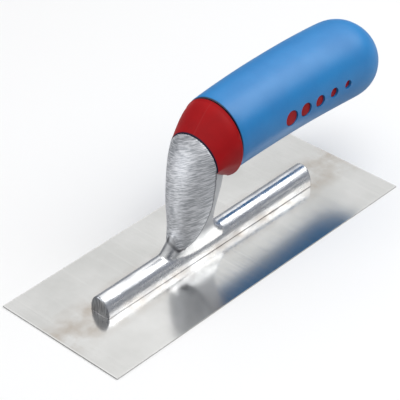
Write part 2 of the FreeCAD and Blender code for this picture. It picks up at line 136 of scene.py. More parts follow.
# Grinding lines that run along the input vector's Y.
grind_lines, given, result = new_group(
    "grinding lines",
    [("Vector", "NodeSocketVector", None), ("Width", "NodeSocketFloat", 0.0005),
     ("Length", "NodeSocketFloat", 0.03)],
    [("Lines", "NodeSocketFloat"), ("Scratches", "NodeSocketFloat")])
cross = maths(grind_lines, "DIVIDE", 1.0, given.outputs["Width"])
along = maths(grind_lines, "DIVIDE", 1.0, given.outputs["Length"])
stretch = add(grind_lines, "ShaderNodeCombineXYZ", {"X": cross, "Y": along, "Z": cross}).outputs[0]
stretched = add(grind_lines, "ShaderNodeVectorMath", {0: given.outputs["Vector"], 1: stretch},
                operation="MULTIPLY").outputs[0]
fine = add(grind_lines, "ShaderNodeTexNoise", {"Vector": stretched, "Scale": 1.0, "Detail": 3.0})
grind_lines.links.new(fine.outputs[0], result.inputs["Lines"])
coarse = add(grind_lines, "ShaderNodeTexNoise", {"Vector": stretched, "Scale": 0.31, "Detail": 4.0})
deep = span(grind_lines, coarse.outputs[0], 0.56, 0.72)
grind_lines.links.new(deep, result.inputs["Scratches"])

# Soft patches left by handling and wiping.
patches, given, result = new_group(
    "handling patches",
    [("Vector", "NodeSocketVector", None), ("Size", "NodeSocketFloat", 0.03)],
    [("Patches", "NodeSocketFloat"), ("Specks", "NodeSocketFloat")])
spacing = maths(patches, "DIVIDE", 1.0, given.outputs["Size"])
cloud = add(patches, "ShaderNodeTexNoise",
            {"Vector": given.outputs["Vector"], "Scale": spacing, "Detail": 4.0, "Roughness": 0.55})
patches.links.new(span(patches, cloud.outputs[0], 0.35, 0.68), result.inputs["Patches"])
dots = add(patches, "ShaderNodeTexNoise",
           {"Vector": given.outputs["Vector"], "Scale": maths(patches, "MULTIPLY", spacing, 30.0),
            "Detail": 2.0})
patches.links.new(span(patches, dots.outputs[0], 0.62, 0.72), result.inputs["Specks"])

blade_steel, tree, shader = new_material("ground_blade_steel")
here = place_on(tree)
lines = use(tree, grind_lines, {"Vector": here, "Width": 0.0005, "Length": 0.045})
marks = use(tree, patches, {"Vector": here, "Size": 0.045})
axes = add(tree, "ShaderNodeSeparateXYZ", {"Vector": here})
blade_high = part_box("blade")[1]
end_gap = maths(tree, "SUBTRACT", blade_high[0], maths(tree, "ABSOLUTE", axes.outputs["X"]))
side_gap = maths(tree, "SUBTRACT", blade_high[1], maths(tree, "ABSOLUTE", axes.outputs["Y"]))
rim = span(tree, maths(tree, "MINIMUM", end_gap, side_gap), 0.00025, 0.0009, 1.0, 0.0)
worn = maths(tree, "MULTIPLY", rim, span(tree, lines.outputs["Lines"], 0.35, 0.6))
tone = blend(tree, marks.outputs["Patches"], STEEL, STEEL_DULL)
tone = blend(tree, maths(tree, "MULTIPLY", lines.outputs["Scratches"], 0.15), tone, STEEL_EDGE)
beside_bar = span(tree, maths(tree, "ABSOLUTE", axes.outputs["Y"]), 0.006, 0.016, 0.75, 0.0)
stains = use(tree, patches, {"Vector": here, "Size": 0.012})
stained = maths(tree, "MULTIPLY", beside_bar, stains.outputs["Patches"])
tone = blend(tree, stained, tone, STEEL_STAINED)
tone = blend(tree, maths(tree, "MULTIPLY", stains.outputs["Specks"], 0.3), tone, STEEL_STAINED)
tree.links.new(blend(tree, worn, tone, STEEL_EDGE), shader.inputs["Base Color"])
shader.inputs["Metallic"].default_value = 1.0
satin = span(tree, marks.outputs["Patches"], 0.0, 1.0, 0.150, 0.200)
satin = maths(tree, "ADD", satin, span(tree, lines.outputs["Lines"], 0.3, 0.7, -0.02, 0.03))
tree.links.new(satin, shader.inputs["Roughness"])
grain = add(tree, "ShaderNodeBump", {"Strength": 0.12, "Distance": 0.00002, "Height": lines.outputs["Lines"]})
tree.links.new(grain.outputs[0], shader.inputs["Normal"])


def dress(name, material):
    """Gives a node of the frame its material."""
    slots = nodes[name].data.materials
    slots.clear()
    slots.append(material)


dress("blade", blade_steel)

# --------------------------------------------------------------------------------------- mounting
# One aluminium casting: an arched bar along the blade, a foot and a web that grow out of it, and
# the leaf-shaped front of the post. The bar and foot are tumbled bright, and the leaf's front is
# ground across on a belt. Bores for six rivets and for the rod are hidden in it.

RING_POINTS = 64
BLADE_TOP = 0.0007
# The bar sits a little down in the blade, so that its rounded lower arris leaves no gap.
BAR_BASE = 0.0004
# Place, half width, shoulder and top of the bar's arched section.
BAR = (
    (-0.0726, 0.00585, 0.0014, 0.0107),
    (-0.0150, 0.00595, 0.0023, 0.0112),
    (0.0699, 0.00600, 0.0035, 0.0117),
)
# Height, front, rear, half width and how round the rear is.
WEB = (
    (0.0040, -0.0375, 0.0100, 0.0052, 0.0060),
    (0.0075, -0.0375, 0.0100, 0.0054, 0.0060),
    (0.0120, -0.0308, 0.0046, 0.0058, 0.0044),
    (0.0170, -0.0253, 0.0010, 0.0059, 0.0034),
    (0.0230, -0.0214, 0.0012, 0.0061, 0.0030),
    (0.0300, -0.0180, 0.0032, 0.0066, 0.0030),
    (0.0380, -0.0145, 0.0052, 0.0076, 0.0030),
    (0.0460, -0.0130, 0.0056, 0.0085, 0.0030),
    (0.0540, -0.0125, 0.0056, 0.0085, 0.0030),
)
WEB_MIDDLE = -0.010
# The web's top slopes down to the rear inside the collar, and the boss for the rod stands over it.
SHOULDER_X = -0.008
WEB_TOP_FRONT, WEB_TOP_REAR, WEB_TOP_REAR_X = 0.0536, 0.0424, 0.006
ROD_HEIGHT = 0.0592
BOSS_RADIUS, BOSS_END = 0.006, 0.003
# Edge place, height, half width, bulge and lean in degrees of the leaf's front.
LEAF = (
    (-0.0212, 0.0112, 0.0030, 0.0040, -20.0),
    (-0.0200, 0.0126, 0.0060, 0.0056, -8.0),
    (-0.0162, 0.0165, 0.0084, 0.0077, 0.0),
    (-0.0130, 0.0220, 0.0103, 0.0098, 2.0),
    (-0.0106, 0.0290, 0.0122, 0.0119, 6.0),
    (-0.0090, 0.0360, 0.0134, 0.0127, 13.0),
    (-0.0082, 0.0430, 0.0141, 0.0127, 26.0),
    (-0.0080, 0.0490, 0.0148, 0.0123, 50.0),
    (-0.0080, 0.0540, 0.0153, 0.0134, 90.0),
)
LEAF_BACK = 0.0008
ROD_RADIUS, ROD_FRONT = 0.0030, -0.0055
RIVETS, FIRST_RIVET, RIVET_PITCH = 6, -0.06425, 0.025
RIVET_RADIUS, RIVET_LENGTH = 0.0016, 0.0085
# The line of painted shadow round and under the leaf's tip, from its near edge to its far one.
TIP_SHADE_LINE = (
    (-0.0165, -0.0072, 0.0170),
    (-0.0179, -0.0065, 0.0144),
    (-0.0211, -0.0056, 0.0125),
    (-0.0241, -0.0043, 0.0119),
    (-0.0257, -0.0015, 0.0147),
    (-0.0254, 0.0010, 0.0160),
    (-0.0246, 0.0030, 0.0177),
)
# How near to the leaf's skin a spot counts as ground, and how far the painted shade spreads from the leaf's
# edges and tip.
GROUND_DEPTH, SHADE_REACH = 0.0006, 0.0019
CAST_GRAIN = 0.00045


def flowing(rows, steps):
    """Rows of sizes carried smoothly through the given rows, with this many steps to a gap."""
    ends = [rows[0], *rows, rows[-1]]
    smooth = []
    for before, start, end, after in zip(ends, ends[1:], ends[2:], ends[3:]):
        for step in range(steps):
            t = step / steps
            smooth.append([
                0.5 * (2 * b + (c - a) * t + (2 * a - 5 * b + 4 * c - d) * t ** 2
                       + (3 * b - a - 3 * c + d) * t ** 3)
                for a, b, c, d in zip(before, start, end, after)
            ])
    smooth.append(list(rows[-1]))
    return smooth


def oval_ring(mesh, place, half_width, front, rear, lean=0.0):
    """A level oval loop that reaches front along -X and rear along +X, leaned about Y."""
    ring = bmesh.ops.create_circle(mesh, segments=RING_POINTS, radius=1.0)["verts"]
    for vert in ring:
        vert.co.x *= front if vert.co.x < 0 else rear
        vert.co.y *= half_width
    bmesh.ops.rotate(mesh, verts=ring, cent=(0, 0, 0), matrix=Matrix.Rotation(lean, 3, "Y"))
    bmesh.ops.translate(mesh, verts=ring, vec=place)
    return ring


def loop_edges(ring):
    """The edges of one loop."""
    members = set(ring)
    return list({edge for vert in ring for edge in vert.link_edges if edge.other_vert(vert) in members})


def skin_over(mesh, rings, closed=True):
    """Bridges loops one after the other, and caps the first and the last."""
    for below, above in zip(rings, rings[1:]):
        bmesh.ops.bridge_loops(mesh, edges=loop_edges(below) + loop_edges(above))
    if closed:
        for ring in (rings[0], rings[-1]):
            bmesh.ops.contextual_create(mesh, geom=loop_edges(ring))


def new_piece(name, mesh, body="root"):
    """An object of its own from a finished bmesh, riding on a body of the frame."""
    bmesh.ops.recalc_face_normals(mesh, faces=mesh.faces)
    data = bpy.data.meshes.new(name)
    mesh.to_mesh(data)
    mesh.free()
    data.shade_smooth()
    piece = bpy.data.objects.new(name, data)
    scene.collection.objects.link(piece)
    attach(piece, body)
    return piece


def settle(piece):
    """Makes a piece's modifiers part of its mesh."""
    graph = bpy.context.evaluated_depsgraph_get()
    finished = bpy.data.meshes.new_from_object(piece.evaluated_get(graph))
    piece.modifiers.clear()
    piece.data = finished
    finished.materials.clear()
    finished.shade_smooth()


def along_x(mesh, radius, start, end, sides=64):
    """A closed cylinder about the rod's axis."""
    bmesh.ops.create_cone(
        mesh, segments=sides, radius1=radius, radius2=radius, depth=end - start, cap_ends=True,
        matrix=Matrix.Translation(((start + end) / 2, 0, ROD_HEIGHT))
        @ Matrix.Rotation(math.radians(90), 4, "Y"))


def cut_with(piece, tool, operation):
    """Cuts a bmesh out of a piece, or joins it on, and discards it."""
    bmesh.ops.recalc_face_normals(tool, faces=tool.faces)
    data = bpy.data.meshes.new("tool")
    tool.to_mesh(data)
    tool.free()
    body = bpy.data.objects.new("tool", data)
    scene.collection.objects.link(body)
    boolean = piece.modifiers.new("cut", "BOOLEAN")
    boolean.operation, boolean.object, boolean.solver = operation, body, "MANIFOLD"
    settle(piece)
    bpy.data.objects.remove(body)
    bpy.data.meshes.remove(data)


def leaf_rings(mesh):
    """The loops of the leaf-shaped front, from its tip up to the shoulder."""
    return [
        oval_ring(mesh, (x, 0, height), half_width, bulge, LEAF_BACK, math.radians(lean))
        for x, height, half_width, bulge, lean in flowing(LEAF, 4)
    ]


casting = bmesh.new()
web_rings = []
for height, front, rear, half_width, rear_round in flowing(WEB, 4):
    ring = oval_ring(casting, (WEB_MIDDLE, 0, height), half_width, WEB_MIDDLE - front, rear - WEB_MIDDLE)
    for vert in ring:
        if vert.co.x > WEB_MIDDLE:
            side = math.sqrt(max(0.0, 1 - (vert.co.y / half_width) ** 2))
            vert.co.x = rear - rear_round + rear_round * side
    web_rings.append(ring)
skin_over(casting, web_rings)
slope = Vector((WEB_TOP_FRONT - WEB_TOP_REAR, 0, WEB_TOP_REAR_X - SHOULDER_X))
trimmed = bmesh.ops.bisect_plane(casting, geom=casting.verts[:] + casting.edges[:] + casting.faces[:],
                                 plane_co=(SHOULDER_X, 0, WEB_TOP_FRONT), plane_no=slope, clear_outer=True)
bmesh.ops.contextual_create(
    casting, geom=[part for part in trimmed["geom_cut"] if isinstance(part, bmesh.types.BMEdge)])
along_x(casting, BOSS_RADIUS, SHOULDER_X, BOSS_END, sides=48)

bar_rings = []
for x, half_width, shoulder, top in BAR:
    ring = bmesh.ops.create_circle(casting, segments=RING_POINTS, radius=1.0,
                                   matrix=Matrix.Rotation(math.radians(90), 4, "Y"))["verts"]
    for vert in ring:
        if vert.co.z > 0:
            vert.co = (x, vert.co.y * half_width, shoulder + vert.co.z * (top - shoulder))
        else:
            beside = math.copysign(half_width, vert.co.y) if abs(vert.co.y) > 0.02 else 0.0
            vert.co = (x, beside, shoulder + vert.co.z * (shoulder - BAR_BASE))
    bar_rings.append(ring)
skin_over(casting, bar_rings)

skin_over(casting, leaf_rings(casting))
front_skin = bmesh.new()
skin_over(front_skin, leaf_rings(front_skin), closed=False)
leaf_front = BVHTree.FromBMesh(front_skin)
front_skin.free()

mounting = new_piece("mounting_casting", casting)
remesh = mounting.modifiers.new("cast_as_one", "REMESH")
remesh.mode = "VOXEL"
remesh.voxel_size = CAST_GRAIN
soften = mounting.modifiers.new("tumbled_edges", "SMOOTH")
soften.factor = 0.5
soften.iterations = 6
settle(mounting)
bores = bmesh.new()
along_x(bores, ROD_RADIUS, ROD_FRONT, BOSS_END + 0.001)
for number in range(RIVETS):
    bmesh.ops.create_cone(
        bores, segments=32, radius1=RIVET_RADIUS, radius2=RIVET_RADIUS, depth=RIVET_LENGTH, cap_ends=True,
        matrix=Matrix.Translation((FIRST_RIVET + RIVET_PITCH * number, 0, RIVET_LENGTH / 2)))
cut_with(mounting, bores, "DIFFERENCE")
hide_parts("mounting")

# Painted shadow: spots near the leaf's side edges and the line round its tip are marked, to be darkened where
# the leaf overhangs the web and the bar.
leaf_shade_line = [(x, side * half_width, height) for x, height, half_width, bulge, lean in flowing(LEAF, 12)
            for side in (-1, 1)]
leaf_shade_line += flowing(TIP_SHADE_LINE, 6)
nearby = KDTree(len(leaf_shade_line))
for number, place in enumerate(leaf_shade_line):
    nearby.insert(place, number)
nearby.balance()
ground = mounting.data.attributes.new("ground", "FLOAT", "POINT")
rim = mounting.data.attributes.new("rim", "FLOAT", "POINT")
for vert in mounting.data.vertices:
    depth = leaf_front.find_nearest(vert.co)[3]
    ground.data[vert.index].value = 1.0 if depth < GROUND_DEPTH and vert.normal.x < 0.35 else 0.0
    rim.data[vert.index].value = max(0.0, 1.0 - nearby.find(vert.co)[2] / SHADE_REACH)

CAST_BRIGHT = (0.88, 0.89, 0.90, 1)
CAST_DULL = (0.66, 0.67, 0.69, 1)
CAST_RAW = (0.54, 0.55, 0.57, 1)
CAST_SHADE_AND_GRIME = (0.10, 0.10, 0.115, 1)
CAST_GROUND = (0.43, 0.45, 0.48, 1)
CAST_SCORED = (0.84, 0.85, 0.88, 1)
CAST_HOLLOW_SHADE = (0.16, 0.17, 0.20, 1)
CAST_RUBBED = (0.88, 0.89, 0.91, 1)
SAWN_DARK = (0.30, 0.32, 0.36, 1)
SAWN_PALE = (0.62, 0.64, 0.67, 1)

# Where a rounded edge has been rubbed bright, and the hollows, which are given painted shade.
wear_and_hollow_shade, given, result = new_group(
    "edge wear and hollow shade",
    [("Vector", "NodeSocketVector", None), ("Size", "NodeSocketFloat", 0.004)],
    [("Rubbed", "NodeSocketFloat"), ("Hollow shade", "NodeSocketFloat")])
curve = add(wear_and_hollow_shade, "ShaderNodeNewGeometry").outputs["Pointiness"]
scatter = add(wear_and_hollow_shade, "ShaderNodeTexNoise",
              {"Vector": given.outputs["Vector"],
               "Scale": maths(wear_and_hollow_shade, "DIVIDE", 1.0, given.outputs["Size"]), "Detail": 3.0})
uneven = span(wear_and_hollow_shade, scatter.outputs[0], 0.3, 0.7)
wear_and_hollow_shade.links.new(maths(wear_and_hollow_shade, "MULTIPLY", span(wear_and_hollow_shade, curve, 0.52, 0.60), uneven),
                    result.inputs["Rubbed"])
wear_and_hollow_shade.links.new(span(wear_and_hollow_shade, curve, 0.48, 0.42), result.inputs["Hollow shade"])

cast_aluminium, tree, shader = new_material("tumbled_and_ground_casting")
here = place_on(tree)
ground_share = add(tree, "ShaderNodeAttribute", attribute_name="ground").outputs["Fac"]
upright = turned(tree, here, angles=(math.radians(21), 0, 0), scale=(0.06, 1, 1))
belt = use(tree, grind_lines, {"Vector": upright, "Width": 0.00033, "Length": 0.0040})
marks = use(tree, patches, {"Vector": here, "Size": 0.010})
wear_and_shade = use(tree, wear_and_hollow_shade, {"Vector": here, "Size": 0.004})
bright = blend(tree, marks.outputs["Patches"], CAST_BRIGHT, CAST_DULL)
# Painted shade: the casting's hollows are darkened towards a near-black grey.
bright = blend(tree, wear_and_shade.outputs["Hollow shade"], bright, CAST_HOLLOW_SHADE)
scored = blend(tree, span(tree, belt.outputs["Lines"], 0.40, 0.60), CAST_GROUND, CAST_SCORED)
leaf_edge_shade = add(tree, "ShaderNodeAttribute", attribute_name="rim").outputs["Fac"]
leaf_edge_shade = span(tree, leaf_edge_shade, 0.30, 0.75)
axes = add(tree, "ShaderNodeSeparateXYZ", {"Vector": here})
seated = span(tree, axes.outputs["Z"], BLADE_TOP + 0.0001, BLADE_TOP + 0.0006, 0.6, 0.0)
above_bar = span(tree, axes.outputs["Z"], BAR[-1][3] + 0.0008, BAR[-1][3] + 0.0053)
as_cast = maths(tree, "MULTIPLY", above_bar, maths(tree, "SUBTRACT", 1.0, ground_share))
bright = blend(tree, as_cast, bright, CAST_RAW)
bar_middle, bar_half_length = (BAR[0][0] + BAR[-1][0]) / 2, (BAR[-1][0] - BAR[0][0]) / 2
from_middle = maths(tree, "ABSOLUTE", maths(tree, "SUBTRACT", axes.outputs["X"], bar_middle))
from_end = maths(tree, "SUBTRACT", bar_half_length, from_middle)
sawn = span(tree, from_end, 0.0003, 0.0007, 1.0, 0.0)
saw_marks = add(tree, "ShaderNodeTexNoise",
                {"Vector": turned(tree, here, scale=(1, 1, 0.12)), "Scale": 1500.0, "Detail": 3.0})
sawn_tone = blend(tree, span(tree, saw_marks.outputs[0], 0.4, 0.62), SAWN_DARK, SAWN_PALE)
bright = blend(tree, sawn, bright, sawn_tone)
tone = blend(tree, ground_share, bright, scored)
rubbed = maths(tree, "MULTIPLY", wear_and_shade.outputs["Rubbed"], span(tree, ground_share, 0.0, 0.5, 0.8, 0.2))
tone = blend(tree, rubbed, tone, CAST_RUBBED)
# Painted shade along the leaf's edges and round its tip, together with dark dirt where the bar is seated on
# the blade.
shade_and_grime = maths(tree, "MAXIMUM", maths(tree, "MULTIPLY", leaf_edge_shade, 0.85), seated)
tree.links.new(blend(tree, shade_and_grime, tone, CAST_SHADE_AND_GRIME), shader.inputs["Base Color"])
shader.inputs["Metallic"].default_value = 1.0
bar_gloss = span(tree, marks.outputs["Patches"], 0.0, 1.0, 0.22, 0.33)
leaf_gloss = span(tree, belt.outputs["Lines"], 0.3, 0.7, 0.50, 0.64)
bar_gloss = add(tree, "ShaderNodeMix", {0: as_cast, 2: bar_gloss, 3: 0.58}).outputs[0]
gloss = add(tree, "ShaderNodeMix", {0: ground_share, 2: bar_gloss, 3: leaf_gloss}).outputs[0]
tree.links.new(gloss, shader.inputs["Roughness"])
waves = add(tree, "ShaderNodeTexNoise", {"Vector": turned(tree, here, scale=(0.35, 1, 1)), "Scale": 420.0,
                                         "Detail": 3.0})
dimples = add(tree, "ShaderNodeBump", {"Strength": 0.6, "Distance": 0.00025, "Height": waves.outputs[0]})
height = maths(tree, "MULTIPLY", belt.outputs["Lines"], ground_share)
scores = add(tree, "ShaderNodeBump",
             {"Strength": 0.6, "Distance": 0.00018, "Height": height, "Normal": dimples.outputs[0]})
tree.links.new(scores.outputs[0], shader.inputs["Normal"])
mounting.data.materials.append(cast_aluminium)

# ----------------------------------------------------------------------------------------- rivets
# Six aluminium rivets with countersunk heads that hold the bar to the blade. Their heads are
# ground flush with the blade's underside, so each shows as a bright disc with faint rings.

rivet_alloy, tree, shader = new_material("ground_rivet_alloy")
here = place_on(tree)
axes = add(tree, "ShaderNodeSeparateXYZ", {"Vector": here})
step = maths(tree, "SUBTRACT", axes.outputs["X"], FIRST_RIVET - RIVET_PITCH / 2)
from_middle = maths(tree, "SUBTRACT", maths(tree, "FLOORED_MODULO", step, RIVET_PITCH), RIVET_PITCH / 2)
centred = add(tree, "ShaderNodeCombineXYZ", {"X": from_middle, "Y": axes.outputs["Y"]}).outputs[0]
radius = add(tree, "ShaderNodeVectorMath", {0: centred}, operation="LENGTH").outputs["Value"]
rings = maths(tree, "SINE", maths(tree, "MULTIPLY", radius, 9000.0))
marks = use(tree, patches, {"Vector": here, "Size": 0.002})
tree.links.new(blend(tree, marks.outputs["Patches"], CAST_BRIGHT, CAST_DULL), shader.inputs["Base Color"])
shader.inputs["Metallic"].default_value = 1.0
tree.links.new(span(tree, rings, -1.0, 1.0, 0.24, 0.38), shader.inputs["Roughness"])
turning = add(tree, "ShaderNodeBump", {"Strength": 0.4, "Distance": 0.00004, "Height": rings})
tree.links.new(turning.outputs[0], shader.inputs["Normal"])
dress("mounting_rivets", rivet_alloy)

# --------------------------------------------------------------------------- rod, washer and nut
# A zinc-plated threaded rod screwed into the post, with a washer and a hexagon nut that pull the
# handle against the casting. All three are hidden by the handle and its end plug.

ZINC = (0.62, 0.63, 0.64, 1)
ZINC_YELLOWED = (0.58, 0.55, 0.44, 1)

zinc, tree, shader = new_material("zinc_plated_steel")
here = place_on(tree)
marks = use(tree, patches, {"Vector": here, "Size": 0.006})
tree.links.new(blend(tree, marks.outputs["Patches"], ZINC, ZINC_YELLOWED), shader.inputs["Base Color"])
shader.inputs["Metallic"].default_value = 1.0
tree.links.new(span(tree, marks.outputs["Patches"], 0.0, 1.0, 0.30, 0.45), shader.inputs["Roughness"])
turned_lines = use(tree, grind_lines, {"Vector": here, "Width": 0.0004, "Length": 0.004})
turning = add(tree, "ShaderNodeBump", {"Strength": 0.2, "Distance": 0.00004,
                                       "Height": turned_lines.outputs["Lines"]})
tree.links.new(turning.outputs[0], shader.inputs["Normal"])
for name in ("tang_rod", "tang_washer", "tang_nut"):
    dress(name, zinc)

# ------------------------------------------------------------------------------------- handle core
# The hard inner moulding in red polypropylene: a collar that grows from the post's arch to the
# grip, with a faint mould line along its crest, and the core whose pads show in the windows. The
# web of the casting fills a slot under the collar, and bores take the boss, the rod and the nut.

COLLAR_REAR = 0.006
# Place, middle height, half width, rise and drop of the collar's section.
COLLAR = (
    (-0.0080, 0.0540, 0.0153, 0.0134, 0.0030),
    (-0.0056, 0.0556, 0.0161, 0.0144, 0.0070),
    (-0.0020, 0.0576, 0.0173, 0.0163, 0.0122),
    (0.0020, 0.0594, 0.0184, 0.0183, 0.0170),
    (0.0060, 0.0604, 0.0191, 0.0196, 0.0204),
)
# Place and half height of the grip's section along its bowed axis.
GRIP = (
    (0.0060, 0.0194),
    (0.0300, 0.0200),
    (0.0550, 0.0204),
    (0.0800, 0.0208),
    (0.0920, 0.02085),
    (0.0970, 0.0207),
    (0.1010, 0.0200),
    (0.1050, 0.0185),
    (0.1090, 0.0159),
    (0.1125, 0.0125),
    (0.1148, 0.0093),
    (0.1160, 0.0071),
)
GRIP_POINTS = 96
GRIP_WIDTH = 0.965
SKIN = 0.0025
SEAT_X, SEAT_RADIUS = 0.103, 0.0062
PLUG_FRONT, DOME_END = 0.1126, 0.1183
SLOT_HALF_WIDTH = 0.0089
WINDOW_HEIGHT = 0.0623
WINDOWS = [(0.0395 + 0.010125 * number, 0.0040 - 0.00045 * number) for number in range(5)]
PAD_REACH = 0.0189
# The clearance round the core, and how far back and in each step of a rounded collar rim goes.
PLAY = 0.00005
RIM_STEPS = ((0.00075, 0.00005), (0.0004, 0.0002), (0.0002, 0.0005), (0.0001, 0.0009))
AXIS_HEIGHT, AXIS_RISE, BOW_MIDDLE, BOW_REACH = 0.06105, 0.00205, 0.050, 0.047


def axis_height(x):
    """Height of the grip's bowed axis."""
    return AXIS_HEIGHT + AXIS_RISE * (1 - ((x - BOW_MIDDLE) / BOW_REACH) ** 2)


def upright_ring(mesh, x, height, half_width, rise, drop):
    """An oval loop across the handle."""
    ring = bmesh.ops.create_circle(mesh, segments=GRIP_POINTS, radius=1.0,
                                   matrix=Matrix.Rotation(math.radians(90), 4, "Y"))["verts"]
    for vert in ring:
        vert.co = (x, vert.co.y * half_width, height + vert.co.z * (rise if vert.co.z > 0 else drop))
    return ring


def grip_ring(mesh, x, half_height, inside=0.0):
    """A loop of the grip's outside, or as far inside it as given."""
    tall, wide = half_height - inside, half_height * GRIP_WIDTH - inside
    return upright_ring(mesh, x, axis_height(x), wide, tall, tall)


def across_y(mesh, radius, x, reach, soft=0.0):
    """A closed cylinder across the handle at the windows' height, its rims rounded if asked."""
    rod = bmesh.ops.create_cone(
        mesh, segments=48, radius1=radius, radius2=radius, depth=2 * reach, cap_ends=True,
        matrix=Matrix.Translation((x, 0, WINDOW_HEIGHT)) @ Matrix.Rotation(math.radians(90), 4, "X"))["verts"]
    if soft:
        rims = [edge for edge in {edge for vert in rod for edge in vert.link_edges}
                if edge.verts[0].co.y * edge.verts[1].co.y > 0]
        bmesh.ops.bevel(mesh, geom=rims, offset=soft, affect="EDGES", segments=3, profile=0.5, material=-1)


def round_arrises(piece, width, angle):
    """Rounds every sharp edge of a piece and evens its shading."""
    bevel = piece.modifiers.new("rounded_arrises", "BEVEL")
    bevel.width, bevel.segments, bevel.limit_method = width, 2, "ANGLE"
    bevel.angle_limit = math.radians(angle)
    bevel.harden_normals = True
    settle(piece)


shell = bmesh.new()
rows = flowing(COLLAR, 5)
rings = [upright_ring(shell, *row) for row in rows[:-1] if row[0] < COLLAR_REAR - 0.0006]
x, height, half_width, rise, drop = COLLAR[-1]
for back, inward in RIM_STEPS:
    rings.append(upright_ring(shell, x - back, height, half_width - inward, rise - inward, drop - inward))
rings.append(grip_ring(shell, x + 0.0006, GRIP[0][1], SKIN + PLAY))
for x, half_height in flowing(GRIP, 4):
    if COLLAR_REAR + 0.001 < x < PLUG_FRONT - 0.0005:
        rings.append(grip_ring(shell, x, half_height, SKIN + PLAY))
skin_over(shell, rings)
core = new_piece("core_and_collar", shell)
pads = bmesh.new()
for x, radius in WINDOWS:
    across_y(pads, radius, x, PAD_REACH, 0.0004)
cut_with(core, pads, "UNION")
slot = bmesh.new()
corners = bmesh.ops.create_cube(slot, size=1.0)["verts"]
for vert in corners:
    rear_end, upper = vert.co.x > 0, vert.co.z > 0
    side = math.copysign(SLOT_HALF_WIDTH, vert.co.y)
    top = WEB_TOP_REAR if rear_end else WEB_TOP_FRONT
    vert.co = (COLLAR_REAR if rear_end else SHOULDER_X - 0.001, side, top if upper else 0.030)
slot.normal_update()
cut_with(core, slot, "DIFFERENCE")
for radius, start, end in ((BOSS_RADIUS, SHOULDER_X - 0.001, BOSS_END), (ROD_RADIUS, 0, SEAT_X + 0.001),
                           (SEAT_RADIUS, SEAT_X, DOME_END)):
    bore = bmesh.new()
    along_x(bore, radius, start, end)
    cut_with(core, bore, "DIFFERENCE")
round_arrises(core, 0.0003, 50)
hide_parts("handle_core")

RED = (0.43, 0.005, 0.008, 1)
RED_DEEP = (0.36, 0.004, 0.007, 1)
RED_RUBBED = (0.46, 0.045, 0.045, 1)

# The fine spark-eroded grain of a mould.
mould_grain, given, result = new_group(
    "mould grain",
    [("Vector", "NodeSocketVector", None), ("Size", "NodeSocketFloat", 0.0008)],
    [("Grain", "NodeSocketFloat")])
pebbles = add(mould_grain, "ShaderNodeTexNoise",
              {"Vector": given.outputs["Vector"],
               "Scale": maths(mould_grain, "DIVIDE", 1.0, given.outputs["Size"]), "Detail": 2.0})
mould_grain.links.new(pebbles.outputs[0], result.inputs["Grain"])

JOINT_DIRT = (0.004, 0.008, 0.030, 1)


def joint_dirt(tree, place):
    """How dirty the joints at the two ends of the collar have become."""
    along = add(tree, "ShaderNodeSeparateXYZ", {"Vector": place}).outputs["X"]
    rear_gap = maths(tree, "ABSOLUTE", maths(tree, "SUBTRACT", along, COLLAR_REAR))
    front_gap = maths(tree, "ABSOLUTE", maths(tree, "SUBTRACT", along, SHOULDER_X))
    return span(tree, maths(tree, "MINIMUM", rear_gap, front_gap), 0.00025, 0.00060, 1.0, 0.0)


red_plastic, tree, shader = new_material("red_moulded_plastic")
here = place_on(tree)
marks = use(tree, patches, {"Vector": here, "Size": 0.012})
grain = use(tree, mould_grain, {"Vector": here, "Size": 0.0009})
axes = add(tree, "ShaderNodeSeparateXYZ", {"Vector": here})
seam = span(tree, maths(tree, "ABSOLUTE", axes.outputs["Y"]), 0.0001, 0.0004, 1.0, 0.0)
tone = blend(tree, marks.outputs["Patches"], RED, RED_DEEP)
tone = blend(tree, maths(tree, "MULTIPLY", seam, 0.25), tone, RED_RUBBED)
wear_and_shade = use(tree, wear_and_hollow_shade, {"Vector": here, "Size": 0.003})
tone = blend(tree, maths(tree, "MULTIPLY", wear_and_shade.outputs["Rubbed"], 0.5), tone, RED_RUBBED)
tree.links.new(blend(tree, joint_dirt(tree, here), tone, JOINT_DIRT), shader.inputs["Base Color"])
tree.links.new(span(tree, marks.outputs["Patches"], 0.0, 1.0, 0.42, 0.54), shader.inputs["Roughness"])
shader.inputs["Specular IOR Level"].default_value = 0.22
raised = maths(tree, "ADD", maths(tree, "MULTIPLY", grain.outputs["Grain"], 0.4), seam)
skin = add(tree, "ShaderNodeBump", {"Strength": 0.35, "Distance": 0.00008, "Height": raised})
tree.links.new(skin.outputs[0], shader.inputs["Normal"])
core.data.materials.append(red_plastic)

# ------------------------------------------------------------------------------------ grip sleeve
# A soft blue elastomer moulded over the core, satin to the touch, with a row of round windows on
# both sides. Handling has rubbed it smoother in patches and paler along the rims.

BLUE = (0.008, 0.235, 0.600, 1)
BLUE_DEEP = (0.006, 0.205, 0.545, 1)
BLUE_RUBBED = (0.045, 0.260, 0.640, 1)

wall = bmesh.new()
x, half_height = GRIP[0]
rings = [grip_ring(wall, x + ahead, half_height, inward)
         for ahead, inward in reversed(RIM_STEPS)]
for x, half_height in flowing(GRIP, 4):
    if COLLAR_REAR + 0.001 < x:
        rings.append(grip_ring(wall, x, half_height))
x, half_height = GRIP[-1]
rings.append(grip_ring(wall, x + 0.00006, half_height, 0.0004))
for hole_end in (x - 0.0004, PLUG_FRONT):
    rings.append(upright_ring(wall, hole_end, ROD_HEIGHT, SEAT_RADIUS, SEAT_RADIUS, SEAT_RADIUS))
for x, half_height in reversed(flowing(GRIP, 2)):
    if COLLAR_REAR + 0.001 < x < PLUG_FRONT - 0.0005:
        rings.append(grip_ring(wall, x, half_height, SKIN))
x, half_height = GRIP[0]
rings.append(grip_ring(wall, x + 0.0001, half_height, SKIN))
skin_over(wall, rings, closed=False)
bmesh.ops.bridge_loops(wall, edges=loop_edges(rings[-1]) + loop_edges(rings[0]))
sleeve = new_piece("soft_grip_sleeve", wall)
